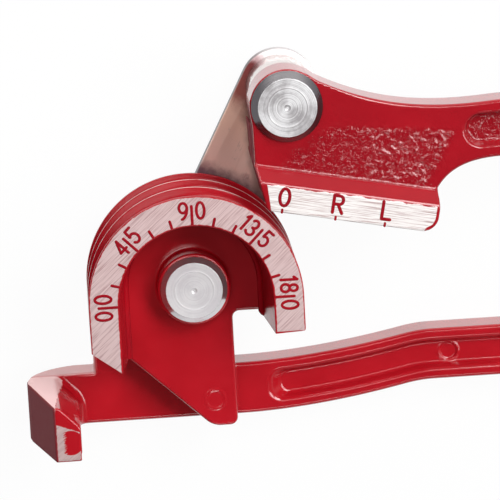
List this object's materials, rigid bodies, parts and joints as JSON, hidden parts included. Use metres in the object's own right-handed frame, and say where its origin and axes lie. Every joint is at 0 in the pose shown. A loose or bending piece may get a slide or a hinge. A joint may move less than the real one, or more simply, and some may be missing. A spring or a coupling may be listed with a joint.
{
  "type": "tube bender",
  "caption": "Lever tube bender: a grooved forming wheel cast in one with its handle and tube hook, and a lever whose grooved shoe swings round the wheel on a riveted link.",
  "frame": {"origin": "on the forming wheel's axis, level with the back of the lower handle and the ends of the rivets, on which the tool lies", "axes": "+X along the lower handle towards its end, +Y from the handle towards the wheel's 90 mark, +Z out of the scale face"},
  "size_m": [0.2285, 0.085, 0.0358],
  "materials": {
    "red_coat": "glossy red powder coat on an aluminium casting",
    "plated_steel": "bright zinc plate",
    "rivet_steel": "turned, fine rings"
  },
  "bodies": {
    "frame": {"wheel_rim": "red_coat", "wheel_web": "red_coat", "lower_handle": "red_coat", "tube_hook": "red_coat", "wheel_pivot_rivet": "rivet_steel", "wheel_thrust_washer": "plated_steel", "wheel_rear_washer": "plated_steel"},
    "link": {"link_plate": "plated_steel", "lever_pivot_rivet": "rivet_steel", "lever_spacer": "plated_steel", "lever_thrust_washer": "plated_steel", "lever_rear_washer": "plated_steel"},
    "lever": {"lever": "red_coat"}
  },
  "joints": [
    {"name": "link_swing", "type": "hinge", "parent": "frame", "child": "link", "pos_m": [0, 0, 0], "axis": [0, 0, 1], "range_deg": [-62, 118]},
    {"name": "lever_swing", "type": "hinge", "parent": "link", "child": "lever", "pos_m": [0.02223, 0.04198, 0], "axis": [0, 0, 1], "range_deg": [-16.5, 110]}
  ]
}
